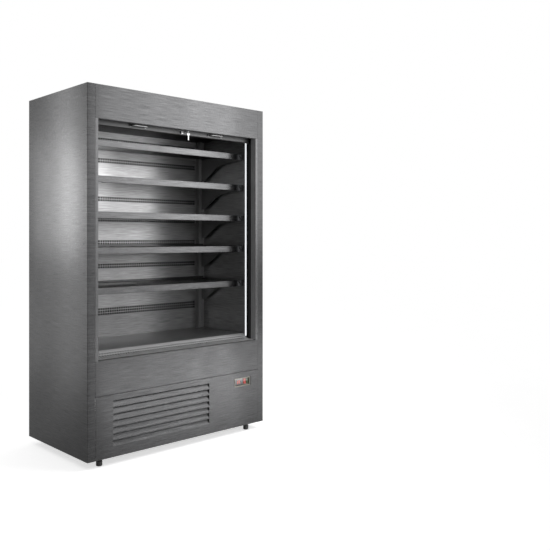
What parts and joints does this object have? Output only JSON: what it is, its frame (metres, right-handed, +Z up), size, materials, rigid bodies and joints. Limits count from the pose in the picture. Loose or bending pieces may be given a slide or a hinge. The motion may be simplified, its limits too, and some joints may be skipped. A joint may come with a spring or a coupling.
{
  "type": "open multideck display fridge",
  "caption": "Upright open-front refrigerated display cabinet in brushed steel with shelves, light strips, a slatted roller shutter and a louvred base.",
  "frame": {"origin": "on the floor, under the middle of the cabinet", "axes": "+Z up, +X to the right seen from the front, the open front faces -Y"},
  "size_m": [1.22, 0.718, 2],
  "materials": {
    "brushed_steel": "dark brushed stainless steel",
    "casing_steel": "galvanised sheet",
    "foam": "rigid foam",
    "aluminium": "satin anodised aluminium",
    "coil_fins": "bare fin stock",
    "light_lens": "opal light cover",
    "chrome": "bright plated",
    "rubber": "matt black rubber",
    "price_rail": "satin grey extrusion",
    "white_plastic": "moulded honeycomb",
    "bezel_plastic": "satin grey moulding",
    "display_plastic": "black window",
    "red_plastic": "lit red rocker",
    "green_plastic": "lit green rocker",
    "black_plastic": "black moulding",
    "motor_paint": "dark grey paint",
    "compressor_paint": "gloss black paint",
    "foot_metal": "black painted steel"
  },
  "bodies": {
    "cabinet": {"side_panel_left": "brushed_steel", "side_panel_right": "brushed_steel", "header_panel": "brushed_steel", "fascia_panel": "brushed_steel", "louvre_panel": "brushed_steel", "duct_panel": "brushed_steel", "canopy": "brushed_steel", "base_deck": "brushed_steel", "return_grille": "brushed_steel", "upright_left": "brushed_steel", "upright_right": "brushed_steel", "shelf_brackets": "brushed_steel", "shelf_1": "brushed_steel", "shelf_2": "brushed_steel", "shelf_3": "brushed_steel", "shelf_4": "brushed_steel", "shelf_5": "brushed_steel", "back_panel": "casing_steel", "top_panel": "casing_steel", "tub": "casing_steel", "base_frame": "casing_steel", "rear_vent_panel": "casing_steel", "roller_end_plates": "casing_steel", "condenser_shroud": "casing_steel", "evaporator_fan_plate": "casing_steel", "insulation": "foam", "guide_left": "aluminium", "guide_right": "aluminium", "condenser_coil": "coil_fins", "evaporator_coil": "coil_fins", "light_strip_left": "light_lens", "light_strip_right": "light_lens", "price_rails": "price_rail", "air_honeycomb": "white_plastic", "control_bezel": "bezel_plastic", "control_display": "display_plastic", "cable_gland": "black_plastic", "panel_end_cap": "black_plastic", "control_box": "black_plastic", "fan_motors": "motor_paint", "compressor": "compressor_paint"},
    "shutter": {"bottom_bar": "aluminium", "bar_seal": "rubber", "bar_handles": "chrome", "lock_barrel": "chrome", "curtain": "aluminium"},
    "drum": {"roller_drum": "aluminium", "wound_slats": "aluminium"},
    "key": {"lock_key": "chrome"},
    "hanging_key": {"spare_key": "chrome"},
    "red_switch": {"rocker_red": "red_plastic"},
    "green_switch": {"rocker_green": "green_plastic"},
    "condenser_wheel": {"condenser_fan": "black_plastic"},
    "left_wheel": {"evaporator_fan_left": "black_plastic"},
    "right_wheel": {"evaporator_fan_right": "black_plastic"},
    "front_left_foot": {"foot_front_left": "foot_metal"},
    "front_right_foot": {"foot_front_right": "foot_metal"},
    "rear_left_foot": {"foot_rear_left": "foot_metal"},
    "rear_right_foot": {"foot_rear_right": "foot_metal"}
  },
  "joints": [
    {"name": "shutter_slide", "type": "slide", "parent": "cabinet", "child": "shutter", "axis": [0, 0, -1], "range_m": [0, 1.2327], "deforming": ["curtain"]},
    {"name": "drum_spin", "type": "hinge", "parent": "cabinet", "child": "drum", "pos_m": [0, -0.208, 1.888], "axis": [1, 0, 0], "range_deg": [0, 1504.9]},
    {"name": "lock_turn", "type": "hinge", "parent": "shutter", "child": "key", "pos_m": [0.024, -0.285, 1.812], "axis": [0, 1, 0], "range_deg": [0, 90]},
    {"name": "spare_key_swing", "type": "hinge", "parent": "key", "child": "hanging_key", "pos_m": [0.024, -0.351, 1.8004], "axis": [0, 1, 0], "range_deg": [-35, 35]},
    {"name": "red_switch_tilt", "type": "hinge", "parent": "cabinet", "child": "red_switch", "pos_m": [0.462, -0.334, 0.3155], "axis": [1, 0, 0], "range_deg": [0, 16]},
    {"name": "green_switch_tilt", "type": "hinge", "parent": "cabinet", "child": "green_switch", "pos_m": [0.483, -0.334, 0.3155], "axis": [1, 0, 0], "range_deg": [0, 16]},
    {"name": "condenser_fan_spin", "type": "hinge", "parent": "cabinet", "child": "condenser_wheel", "pos_m": [-0.1395, -0.1987, 0.2137], "axis": [0, 1, 0], "continuous": true},
    {"name": "left_fan_spin", "type": "hinge", "parent": "cabinet", "child": "left_wheel", "pos_m": [-0.27, -0.16, 0.5044], "axis": [0, 1, 0], "continuous": true},
    {"name": "right_fan_spin", "type": "hinge", "parent": "cabinet", "child": "right_wheel", "pos_m": [0.27, -0.16, 0.5044], "axis": [0, 1, 0], "continuous": true},
    {"name": "front_left_level", "type": "slide", "parent": "cabinet", "child": "front_left_foot", "axis": [0, 0, -1], "range_m": [0, 0.015]},
    {"name": "front_right_level", "type": "slide", "parent": "cabinet", "child": "front_right_foot", "axis": [0, 0, -1], "range_m": [0, 0.015]},
    {"name": "rear_left_level", "type": "slide", "parent": "cabinet", "child": "rear_left_foot", "axis": [0, 0, -1], "range_m": [0, 0.015]},
    {"name": "rear_right_level", "type": "slide", "parent": "cabinet", "child": "rear_right_foot", "axis": [0, 0, -1], "range_m": [0, 0.015]}
  ],
  "couplings": [
    {"joint": "drum_spin", "follows": "shutter_slide", "rad_per_m": 21.3}
  ]
}
